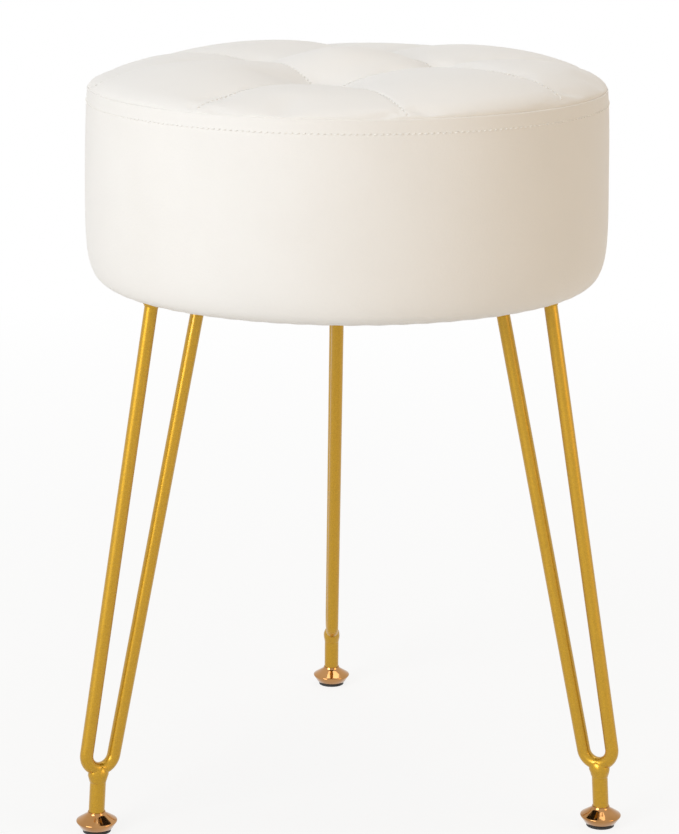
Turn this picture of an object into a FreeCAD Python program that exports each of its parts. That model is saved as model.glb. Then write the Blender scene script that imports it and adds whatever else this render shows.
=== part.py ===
import FreeCAD, Part
import math
import os

# Round vanity stool: an upholstered drum seat with a quilted top, on three
# hairpin rod legs with screw-in levelling feet. Millimetres, +Z up, with the
# origin on the stool's axis at floor level. One leg points to +Y, the rear.

# Whole stool
STOOL_HEIGHT = 460.0
SEAT_THICKNESS = 140.0
SEAT_RADIUS = 157.0
REAR_LEG_AZIMUTH = 90.0
LEG_NAMES = ("rear", "left", "right")

# Leather band round the seat's side
LEATHER = 1.2
WIDEST_ABOVE_BOTTOM = 48.0
CORNER_RADIUS = 13.0
BOTTOM_DRAW_IN = 15.5
RIM_DRAW_IN = 4.0
RIM_BELOW_TOP = 24.0
FOLD_WIDTH = 26.0
SOFT_CLEARANCE = 0.3

# Quilted top: a square of four tufts, four seams between them and two seams
# from each tuft to the rim. Each row of a puff gives how far along it lies,
# and how far its seams and its crown lie below the top of the seat.
TUFT_INSET = 101.0
FIRST_TUFT_AZIMUTH = -106.0
TUFT_COUNT = 4
QUILT_SKIRT = 6.0
PUFF_DEPTH = 50.0
QUILT_FLOOR = 2.0
SEAM_OVERLAP = 1.5
CORNER_PUFF_ROWS = (
    (0.00, 16.0, 15.6),
    (0.30, 12.0, 6.5),
    (0.60, 11.5, 5.0),
    (0.85, 15.0, 9.5),
    (1.00, 22.5, 19.5),
    (1.15, 36.0, 34.0),
)
SIDE_PUFF_ROWS = (
    (0.00, 16.0, 9.0),
    (0.30, 12.0, 5.0),
    (0.60, 11.5, 5.0),
    (0.85, 15.0, 9.5),
    (1.00, 22.5, 19.5),
    (1.15, 36.0, 34.0),
)
MIDDLE_PUFF_ROWS = (
    (-1.00, 16.0, 9.0),
    (-0.50, 12.0, 2.5),
    (0.00, 10.5, 0.0),
    (0.50, 12.0, 2.5),
    (1.00, 16.0, 9.0),
)
TUFT_HALF_WIDTH = 3.0
DIMPLE_DEPTH = 19.0
DIMPLE_FLOOR_RADIUS = 3.0
DIMPLE_MOUTH_RADIUS = 17.0
DIMPLE_MOUTH_DEPTH = 6.0

# Plywood seat board and the foam over it
BOARD_THICKNESS = 15.0
BOARD_EDGE_GAP = 2.0
CORD_RADIUS = 1.25
CORD_HOLE_RADIUS = 1.6
KNOT_RADIUS = 3.0
KNOT_HEIGHT = 1.4
TUFT_WASHER_RADIUS = 10.0
TUFT_WASHER_THICKNESS = 1.5
COUNTERBORE_CLEARANCE = 0.5

# Dust cover and the staples
DUST_COVER = 0.4
DUST_COVER_INSET = 10.0
COVER_STAPLES = 30
DUST_STAPLES = 24
STAPLE_WIRE = 0.6
STAPLE_WIDTH = 1.0
STAPLE_CROWN = 10.0
STAPLE_LEG = 7.0
COVER_STAPLE_INSET = 17.0
DUST_STAPLE_INSET = 13.5
STAPLE_FREE_ANGLE = 12.0

# Hairpin rods and their plates
ROD_RADIUS = 4.0
LEG_INSET = 23.5
HAIRPIN_TOP_GAP = 32.3
OUTER_SPLAY = math.radians(9.94)
INNER_SPLAY = math.radians(12.69)
BEND_BOTTOM_Z = 38.8
PLATE_THICKNESS = 2.0
PLATE_NOSE_RADIUS = 5.2
PLATE_CORNER_RADIUS = 9.0
PLATE_TAIL = 23.2
PLATE_HALF_WIDTH = 22.0
WELD_TOP_WIDTH = 1.1
WELD_TOE_WIDTH = 0.2
WELD_HEIGHT = 2.2

# Bolts, washers and tee nuts that hold the plates
BOLT_RADIUS = 2.95
NUT_BORE_RADIUS = 3.0
BOLT_HOLE_RADIUS = 3.4
BOLT_HEAD_RADIUS = 5.5
BOLT_HEAD_HEIGHT = 3.6
BOLT_HEAD_ROUNDING = 1.2
HEX_ACROSS_FLATS = 4.0
HEX_DEPTH = 2.2
BOLT_TIP_GAP = 1.8
WASHER_RADIUS = 7.0
WASHER_THICKNESS = 1.2
NUT_BARREL_RADIUS = 3.9
NUT_FLANGE_RADIUS = 9.5
NUT_FLANGE_THICKNESS = 1.4
NUT_BARREL_END_GAP = 3.0
BOLT_BETWEEN_RODS = 15.8

# Foot stud, levelling screw, disc and pad
STUD_RADIUS = 4.75
STUD_BOTTOM_Z = 12.5
STUD_TOP_BELOW_ROD_AXIS = 1.0
STUD_TOP_OUTSET = 1.4
STUD_WELD_BELLY = 1.1
STUD_WELD_TOE = 0.2
STUD_WELD_BELOW = 3.6
STUD_WELD_ABOVE = 3.0
FOOT_OUTSET = 3.1
SCREW_RADIUS = 2.45
SCREW_CLEARANCE = 0.05
SCREW_LENGTH_IN_STUD = 15.0
SCREW_BORE_SPARE = 1.5
SCREW_TIP_CHAMFER = 0.6
DISC_RIM_RADIUS = 12.2
DISC_RIM_THICKNESS = 0.8
DISC_RIM_Z = 6.5
DISC_NECK_RADIUS = 5.3
DISC_NECK_HEIGHT = 1.0
DISC_BASE_RADIUS = 9.2
DISC_BASE_Z = 2.0
PAD_RADIUS = 8.4
PAD_HEIGHT = 4.2
PAD_SKIN = 0.9
SNAP_HEAD_RADIUS = 3.7
SNAP_HEAD_HEIGHT = 1.4
SNAP_CLEARANCE = 0.1

# Cutting shapes run this far past what they cut, and the largest is this wide
MARGIN = 1.0
HALF_SPACE = 800.0

# Heights and radii that follow from the sizes above
SEAT_BOTTOM = STOOL_HEIGHT - SEAT_THICKNESS
RIM_Z = STOOL_HEIGHT - RIM_BELOW_TOP
RIM_RADIUS = SEAT_RADIUS - RIM_DRAW_IN
FLAT_RADIUS = SEAT_RADIUS - BOTTOM_DRAW_IN
WIDEST_Z = SEAT_BOTTOM + WIDEST_ABOVE_BOTTOM
BOARD_RADIUS = FLAT_RADIUS - BOARD_EDGE_GAP
BOARD_BOTTOM = SEAT_BOTTOM + LEATHER
BOARD_TOP = BOARD_BOTTOM + BOARD_THICKNESS
QUILT_BOTTOM = RIM_Z - QUILT_SKIRT
TUFT_RADIUS = SEAT_RADIUS - TUFT_INSET
PLATE_TOP = SEAT_BOTTOM - DUST_COVER
PLATE_BOTTOM = PLATE_TOP - PLATE_THICKNESS
OUTER_TOP_RADIUS = SEAT_RADIUS - LEG_INSET
INNER_TOP_RADIUS = OUTER_TOP_RADIUS - HAIRPIN_TOP_GAP


def vec(x, y, z):
    return FreeCAD.Vector(x, y, z)


def turned(shape, azimuth):
    copy = shape.copy()
    copy.rotate(vec(0, 0, 0), vec(0, 0, 1), azimuth)
    return copy


def post(radius, low, high, x=0.0, y=0.0):
    return Part.makeCylinder(radius, high - low, vec(x, y, low))


def ring(outer, inner, low, high, x=0.0, y=0.0):
    hole = post(inner, low - MARGIN, high + MARGIN, x, y)
    return post(outer, low, high, x, y).cut(hole)


def cone(low_radius, high_radius, low, high):
    return Part.makeCone(low_radius, high_radius, high - low, vec(0, 0, low))


def all_above(z):
    corner = vec(-HALF_SPACE / 2, -HALF_SPACE / 2, z)
    return Part.makeBox(HALF_SPACE, HALF_SPACE, HALF_SPACE, corner)


def all_below(z):
    return all_above(z - HALF_SPACE)


def leaned(shape, angle, x, z):
    """The shape turned by angle in the XZ plane, from +Z towards +X, and moved to (x, z)."""
    shape = shape.copy()
    shape.rotate(vec(0, 0, 0), vec(0, 1, 0), math.degrees(angle))
    shape.translate(vec(x, 0, z))
    return shape


def line(start, end):
    return Part.LineSegment(vec(start[0], 0, start[1]), vec(end[0], 0, end[1])).toShape()


def arc_by_angles(centre, radius, first, last):
    """An arc in the XZ plane, between two angles in radians measured from +X."""
    points = []
    for angle in (first, (first + last) / 2, last):
        x = centre[0] + radius * math.cos(angle)
        z = centre[1] + radius * math.sin(angle)
        points.append(vec(x, 0, z))
    return Part.Arc(*points).toShape()


def revolved(edges):
    face = Part.Face(Part.Wire(edges))
    return face.revolve(vec(0, 0, 0), vec(0, 0, 1), 360)


def revolved_outline(points):
    closed = list(points) + [points[0]]
    return revolved([line(a, b) for a, b in zip(closed, closed[1:])])


def one_solid(shape):
    solids = shape.Solids
    assert len(solids) == 1, "expected one solid, found %d" % len(solids)
    return solids[0]


# Side band: its outline is three tangent arcs. A small one rounds the bottom
# corner, a large one swells to the widest height and one draws in to the rim.

def band_arcs(inset, top):
    """The outline's arcs, moved inwards by inset and cut off at the height top."""
    corner = (FLAT_RADIUS, SEAT_BOTTOM + CORNER_RADIUS)
    rise = WIDEST_Z - corner[1]
    swell_radius = (BOTTOM_DRAW_IN**2 + rise**2 - CORNER_RADIUS**2) / (
        2 * (BOTTOM_DRAW_IN - CORNER_RADIUS)
    )
    swell = (SEAT_RADIUS - swell_radius, WIDEST_Z)
    meeting = math.atan2(corner[1] - swell[1], corner[0] - swell[0])
    height = RIM_Z - WIDEST_Z
    upper_radius = (height**2 + RIM_DRAW_IN**2) / (2 * RIM_DRAW_IN)
    upper = (SEAT_RADIUS - upper_radius, WIDEST_Z)
    top_angle = math.asin((top - WIDEST_Z) / (upper_radius - inset))
    arcs = [
        arc_by_angles(corner, CORNER_RADIUS - inset, -math.pi / 2, meeting),
        arc_by_angles(swell, swell_radius - inset, meeting, 0.0),
        arc_by_angles(upper, upper_radius - inset, 0.0, top_angle),
    ]
    top_radius = upper[0] + (upper_radius - inset) * math.cos(top_angle)
    return arcs, top_radius


def bolt_places():
    """Where the three bolts of one plate stand, on a leg that points to +X."""
    tail = INNER_TOP_RADIUS - PLATE_TAIL
    return (
        (tail, -PLATE_HALF_WIDTH),
        (tail, PLATE_HALF_WIDTH),
        (INNER_TOP_RADIUS + BOLT_BETWEEN_RODS, 0.0),
    )


def leg_azimuths():
    step = 360.0 / len(LEG_NAMES)
    return [REAR_LEG_AZIMUTH + step * i for i in range(len(LEG_NAMES))]


def tuft_azimuths():
    return [FIRST_TUFT_AZIMUTH + 360.0 / TUFT_COUNT * i for i in range(TUFT_COUNT)]


def at_every_bolt(radius, low, high):
    posts = [post(radius, low, high, x, y) for x, y in bolt_places()]
    return Part.makeCompound([turned(p, a) for a in leg_azimuths() for p in posts])


def at_every_tuft(shape):
    return Part.makeCompound([turned(shape, a) for a in tuft_azimuths()])


def side_cover():
    outer, outer_top = band_arcs(0.0, RIM_Z)
    inner, inner_top = band_arcs(LEATHER, RIM_Z)
    fold = FLAT_RADIUS - FOLD_WIDTH
    under = SEAT_BOTTOM
    edges = [line((fold, under), (FLAT_RADIUS, under))]
    edges += outer
    edges.append(line((outer_top, RIM_Z), (inner_top, RIM_Z)))
    edges += inner[::-1]
    edges.append(line((FLAT_RADIUS, under + LEATHER), (fold, under + LEATHER)))
    edges.append(line((fold, under + LEATHER), (fold, under)))
    bolts = at_every_bolt(BOLT_HOLE_RADIUS, SEAT_BOTTOM - MARGIN, BOARD_BOTTOM + MARGIN)
    return one_solid(revolved(edges).cut(bolts))


def seat_board():
    under = BOARD_BOTTOM - MARGIN
    above = BOARD_TOP + MARGIN
    board = post(BOARD_RADIUS, BOARD_BOTTOM, BOARD_TOP)
    board = board.cut(at_every_bolt(NUT_BARREL_RADIUS, under, above))
    board = board.cut(at_every_bolt(NUT_FLANGE_RADIUS, BOARD_TOP - NUT_FLANGE_THICKNESS, above))
    seat_radius = TUFT_WASHER_RADIUS + COUNTERBORE_CLEARANCE
    board = board.cut(at_every_tuft(post(seat_radius, under, washer_top(), TUFT_RADIUS)))
    return one_solid(board.cut(at_every_tuft(post(CORD_HOLE_RADIUS, under, above, TUFT_RADIUS))))


def washer_top():
    return BOARD_BOTTOM + TUFT_WASHER_THICKNESS + KNOT_HEIGHT + COUNTERBORE_CLEARANCE


def foam_core():
    inset = LEATHER + SOFT_CLEARANCE
    arcs, top_radius = band_arcs(inset, QUILT_BOTTOM)
    recess = BOARD_RADIUS + SOFT_CLEARANCE
    under = SEAT_BOTTOM + inset
    edges = [line((0, BOARD_TOP), (recess, BOARD_TOP))]
    edges.append(line((recess, BOARD_TOP), (recess, under)))
    edges.append(line((recess, under), (FLAT_RADIUS, under)))
    edges += arcs
    edges.append(line((top_radius, QUILT_BOTTOM), (0, QUILT_BOTTOM)))
    edges.append(line((0, QUILT_BOTTOM), (0, BOARD_TOP)))
    channel = post(CORD_HOLE_RADIUS, BOARD_TOP - MARGIN, QUILT_BOTTOM + MARGIN, TUFT_RADIUS)
    return one_solid(revolved(edges).cut(at_every_tuft(channel)))


# Quilted top: nine puffs, each a loft along itself through sections with a
# round crown. They run a little past their seams, and so meet in channels.

def puff_section(along, half_width, seam_z, crown_z):
    floor = STOOL_HEIGHT - PUFF_DEPTH
    sagitta = crown_z - seam_z
    radius = (half_width**2 + sagitta**2) / (2 * sagitta)
    wide = half_width + SEAM_OVERLAP
    edge_z = crown_z - radius + math.sqrt(radius**2 - wide**2)
    left_floor = vec(along, -wide, floor)
    left_edge = vec(along, -wide, edge_z)
    right_floor = vec(along, wide, floor)
    right_edge = vec(along, wide, edge_z)
    crown = Part.Arc(right_edge, vec(along, 0, crown_z), left_edge).toShape()
    return Part.Wire([
        Part.LineSegment(left_floor, right_floor).toShape(),
        Part.LineSegment(right_floor, right_edge).toShape(),
        crown,
        Part.LineSegment(left_edge, left_floor).toShape(),
    ])


def puff(rows):
    return Part.makeLoft([puff_section(*row) for row in rows], True, False)


def outer_puff(puff_rows, start, start_half, end, end_half):
    rows = []
    for share, seam_drop, crown_drop in puff_rows:
        along = start + (end - start) * share
        half = start_half + (end_half - start_half) * share
        rows.append((along, half, STOOL_HEIGHT - seam_drop, STOOL_HEIGHT - crown_drop))
    return puff(rows)


def quilted_top():
    half_step = math.radians(180.0 / TUFT_COUNT)
    rim_step = half_step / 2
    rim_along = RIM_RADIUS * math.cos(rim_step)
    rim_half = RIM_RADIUS * math.sin(rim_step)
    square_half = TUFT_RADIUS * math.cos(half_step)
    corner = outer_puff(CORNER_PUFF_ROWS, TUFT_RADIUS, TUFT_HALF_WIDTH, rim_along, rim_half)
    side = outer_puff(SIDE_PUFF_ROWS, square_half, square_half, rim_along, rim_half)
    side.translate(vec(-SEAM_OVERLAP, 0, 0))
    reach = square_half + SEAM_OVERLAP
    middle = puff([
        (share * reach, square_half, STOOL_HEIGHT - seam_drop, STOOL_HEIGHT - crown_drop)
        for share, seam_drop, crown_drop in MIDDLE_PUFF_ROWS
    ])
    turn = 180.0 / TUFT_COUNT
    top = post(RIM_RADIUS, RIM_Z, RIM_Z + QUILT_FLOOR)
    top = top.fuse(turned(middle, tuft_azimuths()[0] + turn))
    for azimuth in tuft_azimuths():
        top = top.fuse(turned(corner, azimuth))
        top = top.fuse(turned(side, azimuth + turn))
    top = top.common(post(RIM_RADIUS, RIM_Z, STOOL_HEIGHT + MARGIN))
    _, skirt_radius = band_arcs(LEATHER + SOFT_CLEARANCE, RIM_Z)
    top = top.fuse(post(skirt_radius, QUILT_BOTTOM, RIM_Z))
    floor_z = STOOL_HEIGHT - DIMPLE_DEPTH
    mouth_z = STOOL_HEIGHT - DIMPLE_MOUTH_DEPTH
    dimple = revolved_outline([
        (0, floor_z),
        (DIMPLE_FLOOR_RADIUS, floor_z),
        (DIMPLE_MOUTH_RADIUS, mouth_z),
        (DIMPLE_MOUTH_RADIUS, STOOL_HEIGHT + MARGIN),
        (0, STOOL_HEIGHT + MARGIN),
    ])
    dimple.translate(vec(TUFT_RADIUS, 0, 0))
    cord_hole = post(CORD_HOLE_RADIUS, QUILT_BOTTOM - MARGIN, STOOL_HEIGHT, TUFT_RADIUS)
    return one_solid(top.cut(at_every_tuft(dimple)).cut(at_every_tuft(cord_hole)))


def tuft_cords():
    floor_z = STOOL_HEIGHT - DIMPLE_DEPTH
    knot_bottom = washer_top() - TUFT_WASHER_THICKNESS - KNOT_HEIGHT
    cord = post(CORD_RADIUS, knot_bottom, floor_z + CORD_RADIUS, TUFT_RADIUS)
    knot = post(KNOT_RADIUS, knot_bottom, knot_bottom + KNOT_HEIGHT, TUFT_RADIUS)
    loop = Part.makeBox(
        2 * CORD_RADIUS,
        2 * DIMPLE_FLOOR_RADIUS,
        CORD_RADIUS,
        vec(TUFT_RADIUS - CORD_RADIUS, -DIMPLE_FLOOR_RADIUS, floor_z),
    )
    loop = loop.common(post(DIMPLE_FLOOR_RADIUS, floor_z, floor_z + CORD_RADIUS, TUFT_RADIUS))
    return at_every_tuft(one_solid(cord.fuse(knot).fuse(loop)))


def tuft_washers():
    top = washer_top()
    low = top - TUFT_WASHER_THICKNESS
    return at_every_tuft(ring(TUFT_WASHER_RADIUS, CORD_HOLE_RADIUS, low, top, TUFT_RADIUS))


def dust_cover():
    sheet = post(FLAT_RADIUS - DUST_COVER_INSET, PLATE_TOP, SEAT_BOTTOM)
    bolts = at_every_bolt(BOLT_HOLE_RADIUS, PLATE_TOP - MARGIN, SEAT_BOTTOM + MARGIN)
    return one_solid(sheet.cut(bolts))


def staple(radius, low):
    """One staple whose crown lies across the radius, with its legs upwards."""
    half = STAPLE_CROWN / 2
    crown = Part.makeBox(STAPLE_WIDTH, STAPLE_CROWN, STAPLE_WIRE, vec(radius, -half, low))
    legs = [
        Part.makeBox(STAPLE_WIDTH, STAPLE_WIRE, STAPLE_LEG, vec(radius, y, low))
        for y in (-half, half - STAPLE_WIRE)
    ]
    return one_solid(crown.fuse(legs).removeSplitter())


def staples(count, inset, low, keep_off_legs):
    """A ring of staples, the first half a step round, without those near a leg."""
    step = 360.0 / count
    placed = []
    for i in range(count):
        azimuth = step * (i + 0.5)
        off = min(abs((azimuth - leg + 180) % 360 - 180) for leg in leg_azimuths())
        if off > keep_off_legs:
            placed.append(turned(staple(FLAT_RADIUS - inset, low), azimuth))
    return Part.makeCompound(placed)


def cover_staples():
    return staples(COVER_STAPLES, COVER_STAPLE_INSET, SEAT_BOTTOM, 0.0)


def dust_cover_staples():
    return staples(DUST_STAPLES, DUST_STAPLE_INSET, PLATE_TOP, STAPLE_FREE_ANGLE)


# Legs: each is drawn standing along +X and then turned to its azimuth.

def rod_radius_at(top_radius, splay, z):
    return top_radius + math.tan(splay) * (SEAT_BOTTOM - z)


def bend():
    """The hairpin's bend: its centre (x, z) and radius, from the two straight runs."""
    lean = math.tan(INNER_SPLAY) - math.tan(OUTER_SPLAY)
    spread = 1 / math.cos(OUTER_SPLAY) + 1 / math.cos(INNER_SPLAY)
    gap = HAIRPIN_TOP_GAP - lean * (SEAT_BOTTOM - BEND_BOTTOM_Z)
    radius = gap / (spread - lean)
    z = BEND_BOTTOM_Z + radius
    x = rod_radius_at(INNER_TOP_RADIUS, INNER_SPLAY, z) + radius / math.cos(INNER_SPLAY)
    return x, z, radius


def hairpin_rod():
    x, z, radius = bend()
    outer_start = (OUTER_TOP_RADIUS, SEAT_BOTTOM)
    inner_start = (INNER_TOP_RADIUS, SEAT_BOTTOM)
    outer_end = (x + radius * math.cos(OUTER_SPLAY), z + radius * math.sin(OUTER_SPLAY))
    inner_end = (x - radius * math.cos(INNER_SPLAY), z - radius * math.sin(INNER_SPLAY))
    path = Part.Wire([
        line(outer_start, outer_end),
        arc_by_angles((x, z), radius, OUTER_SPLAY, INNER_SPLAY - math.pi),
        line(inner_end, inner_start),
    ])
    start = vec(outer_start[0], 0, outer_start[1])
    direction = vec(math.sin(OUTER_SPLAY), 0, -math.cos(OUTER_SPLAY))
    section = Part.Wire([Part.makeCircle(ROD_RADIUS, start, direction)])
    rod = path.makePipeShell([section], True, False)
    return one_solid(rod.cut(all_above(PLATE_BOTTOM)))


def rounded_plate(circles, low, high):
    """A flat plate whose outline runs tangent round circles (x, y, radius), anticlockwise."""
    ends = []
    for (ax, ay, ar), (bx, by, br) in zip(circles, circles[1:] + circles[:1]):
        heading = math.atan2(by - ay, bx - ax)
        tilt = math.asin((ar - br) / math.hypot(bx - ax, by - ay))
        outward = heading - math.pi / 2 + tilt
        ends.append((outward, (ax, ay, ar), (bx, by, br)))
    edges = []
    for i, (outward, first, second) in enumerate(ends):
        side = [
            vec(x + r * math.cos(outward), y + r * math.sin(outward), low)
            for x, y, r in (first, second)
        ]
        edges.append(Part.LineSegment(*side).toShape())
        following = ends[(i + 1) % len(ends)][0]
        while following < outward:
            following += 2 * math.pi
        x, y, r = second
        corner = [
            vec(x + r * math.cos(a), y + r * math.sin(a), low)
            for a in (outward, (outward + following) / 2, following)
        ]
        edges.append(Part.Arc(*corner).toShape())
    return Part.Face(Part.Wire(edges)).extrude(vec(0, 0, high - low))


def leg_plate():
    tail = INNER_TOP_RADIUS - PLATE_TAIL
    nose = rod_radius_at(OUTER_TOP_RADIUS, OUTER_SPLAY, PLATE_BOTTOM)
    plate = rounded_plate(
        [
            (tail, -PLATE_HALF_WIDTH, PLATE_CORNER_RADIUS),
            (nose, 0.0, PLATE_NOSE_RADIUS),
            (tail, PLATE_HALF_WIDTH, PLATE_CORNER_RADIUS),
        ],
        PLATE_BOTTOM,
        PLATE_TOP,
    )
    for x, y in bolt_places():
        plate = plate.cut(post(BOLT_HOLE_RADIUS, PLATE_BOTTOM - MARGIN, PLATE_TOP + MARGIN, x, y))
    return one_solid(plate)


def rod_welds(rod):
    """The two beads that join a hairpin's ends to its plate."""
    toe = ROD_RADIUS + WELD_TOE_WIDTH
    root = ROD_RADIUS + WELD_TOP_WIDTH
    beads = []
    for top_radius, splay in ((OUTER_TOP_RADIUS, OUTER_SPLAY), (INNER_TOP_RADIUS, INNER_SPLAY)):
        bead = cone(toe, root, -WELD_HEIGHT, 0).fuse(post(root, 0, ROD_RADIUS))
        x = rod_radius_at(top_radius, splay, PLATE_BOTTOM)
        bead = leaned(bead, -splay, x, PLATE_BOTTOM)
        beads.append(one_solid(bead.cut(all_above(PLATE_BOTTOM)).cut(rod)))
    return Part.makeCompound(beads)


def foot_radius():
    return bend()[0] + FOOT_OUTSET


def stud_ends():
    """The lowest and highest points of the stud's leaning axis, as (x, z)."""
    top_z = BEND_BOTTOM_Z - STUD_TOP_BELOW_ROD_AXIS
    return (foot_radius(), STUD_BOTTOM_Z), (bend()[0] + STUD_TOP_OUTSET, top_z)


def stud_lean():
    (low_x, low_z), (high_x, high_z) = stud_ends()
    return math.atan2(high_x - low_x, high_z - low_z)


def foot_stud(rod):
    (low_x, low_z), (high_x, high_z) = stud_ends()
    length = math.hypot(high_x - low_x, high_z - low_z)
    stud = leaned(post(STUD_RADIUS, -STUD_RADIUS, length), stud_lean(), low_x, low_z)
    bore_top = STUD_BOTTOM_Z + SCREW_LENGTH_IN_STUD + SCREW_BORE_SPARE
    bore = post(SCREW_RADIUS + SCREW_CLEARANCE, STUD_BOTTOM_Z - MARGIN, bore_top, foot_radius())
    return one_solid(stud.cut(all_below(low_z)).cut(bore).cut(rod))


def stud_weld(rod, stud):
    """The bead that fills the corner between the stud and the hairpin's bend."""
    toe = STUD_RADIUS + STUD_WELD_TOE
    belly = STUD_RADIUS + STUD_WELD_BELLY
    lower = cone(toe, belly, -STUD_WELD_ABOVE - STUD_WELD_BELOW, -STUD_WELD_ABOVE)
    upper = cone(belly, toe, -STUD_WELD_ABOVE, 0)
    bead = leaned(lower.fuse(upper), stud_lean(), *stud_ends()[1])
    return one_solid(bead.cut(rod).cut(stud))


def edges_at(shape, z):
    return [e for e in shape.Edges if abs(e.BoundBox.ZMin - z) + abs(e.BoundBox.ZMax - z) < 1e-6]


def hexagon(x, y, low):
    """The hollow for a hex key in the underside of a bolt's head."""
    reach = HEX_ACROSS_FLATS / math.sqrt(3)
    corners = []
    for i in range(7):
        angle = math.radians(60 * i)
        corners.append(vec(x + reach * math.cos(angle), y + reach * math.sin(angle), low - MARGIN))
    return Part.Face(Part.makePolygon(corners)).extrude(vec(0, 0, MARGIN + HEX_DEPTH))


def leg_bolts():
    head_top = PLATE_BOTTOM - WASHER_THICKNESS
    head_low = head_top - BOLT_HEAD_HEIGHT
    bolts = []
    for x, y in bolt_places():
        shank = post(BOLT_RADIUS, head_top, BOARD_TOP - BOLT_TIP_GAP, x, y)
        head = post(BOLT_HEAD_RADIUS, head_low, head_top, x, y)
        head = head.makeFillet(BOLT_HEAD_ROUNDING, edges_at(head, head_low))
        bolts.append(one_solid(shank.fuse(head).cut(hexagon(x, y, head_low))))
    return on_every_leg(bolts)


def leg_washers():
    low = PLATE_BOTTOM - WASHER_THICKNESS
    rings = [
        ring(WASHER_RADIUS, BOLT_RADIUS + SCREW_CLEARANCE, low, PLATE_BOTTOM, x, y)
        for x, y in bolt_places()
    ]
    return on_every_leg(rings)


def tee_nuts():
    low = BOARD_BOTTOM + NUT_BARREL_END_GAP
    nuts = []
    for x, y in bolt_places():
        barrel = post(NUT_BARREL_RADIUS, low, BOARD_TOP, x, y)
        flange = post(NUT_FLANGE_RADIUS, BOARD_TOP - NUT_FLANGE_THICKNESS, BOARD_TOP, x, y)
        bore = post(NUT_BORE_RADIUS, low - MARGIN, BOARD_TOP + MARGIN, x, y)
        nuts.append(one_solid(barrel.fuse(flange).cut(bore)))
    return on_every_leg(nuts)


def on_every_leg(shapes):
    return Part.makeCompound([turned(s, a) for a in leg_azimuths() for s in shapes])


# Levelling foot: a screw with a disc pressed on it, standing in a rubber pad.

def glide_screw():
    x = foot_radius()
    head_low = PAD_SKIN + SNAP_CLEARANCE
    tip = STUD_BOTTOM_Z + SCREW_LENGTH_IN_STUD
    shank = post(SCREW_RADIUS, head_low, tip, x)
    shank = shank.makeChamfer(SCREW_TIP_CHAMFER, edges_at(shank, tip))
    return one_solid(shank.fuse(post(SNAP_HEAD_RADIUS, head_low, head_low + SNAP_HEAD_HEIGHT, x)))


def glide_disc():
    rim_low = DISC_RIM_Z - DISC_RIM_THICKNESS / 2
    rim_high = DISC_RIM_Z + DISC_RIM_THICKNESS / 2
    neck_low = STUD_BOTTOM_Z - DISC_NECK_HEIGHT
    disc = revolved_outline([
        (SCREW_RADIUS, PAD_HEIGHT),
        (PAD_RADIUS + SOFT_CLEARANCE, PAD_HEIGHT),
        (PAD_RADIUS + SOFT_CLEARANCE, DISC_BASE_Z),
        (DISC_BASE_RADIUS, DISC_BASE_Z),
        (DISC_RIM_RADIUS, rim_low),
        (DISC_RIM_RADIUS, rim_high),
        (DISC_NECK_RADIUS, neck_low),
        (DISC_NECK_RADIUS, STUD_BOTTOM_Z),
        (SCREW_RADIUS, STUD_BOTTOM_Z),
    ])
    disc.translate(vec(foot_radius(), 0, 0))
    return one_solid(disc)


def glide_pad():
    x = foot_radius()
    head_high = PAD_SKIN + SNAP_HEAD_HEIGHT + 2 * SNAP_CLEARANCE
    pad = post(PAD_RADIUS, 0, PAD_HEIGHT, x)
    pad = pad.cut(post(SNAP_HEAD_RADIUS + SNAP_CLEARANCE, PAD_SKIN, head_high, x))
    hole = post(SCREW_RADIUS + SCREW_CLEARANCE, PAD_SKIN, PAD_HEIGHT + MARGIN, x)
    return one_solid(pad.cut(hole))


nodes = {
    "seat_board": seat_board(),
    "foam_core": foam_core(),
    "quilted_top": quilted_top(),
    "side_cover": side_cover(),
    "tuft_cords": tuft_cords(),
    "tuft_washers": tuft_washers(),
    "dust_cover": dust_cover(),
    "cover_staples": cover_staples(),
    "dust_cover_staples": dust_cover_staples(),
    "leg_bolts": leg_bolts(),
    "leg_washers": leg_washers(),
    "tee_nuts": tee_nuts(),
}

rod_shape = hairpin_rod()
stud_shape = foot_stud(rod_shape)
leg_shapes = {
    "leg_plate": leg_plate(),
    "hairpin_rod": rod_shape,
    "rod_welds": rod_welds(rod_shape),
    "foot_stud": stud_shape,
    "stud_weld": stud_weld(rod_shape, stud_shape),
    "glide_screw": glide_screw(),
    "glide_disc": glide_disc(),
    "glide_pad": glide_pad(),
}
for leg_name, leg_azimuth in zip(LEG_NAMES, leg_azimuths()):
    for piece_name, piece_shape in leg_shapes.items():
        nodes[piece_name + "_" + leg_name] = turned(piece_shape, leg_azimuth)

os.makedirs("parts", exist_ok=True)
for node_name, node_shape in nodes.items():
    assert node_shape.isValid(), node_name
    node_shape.exportStep("parts/" + node_name + ".step")
print("foot circle radius %.2f, nodes %d" % (foot_radius(), len(nodes)))
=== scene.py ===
import math

import bmesh
import bpy
import numpy as np
from mathutils import Matrix, Vector, noise


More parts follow.
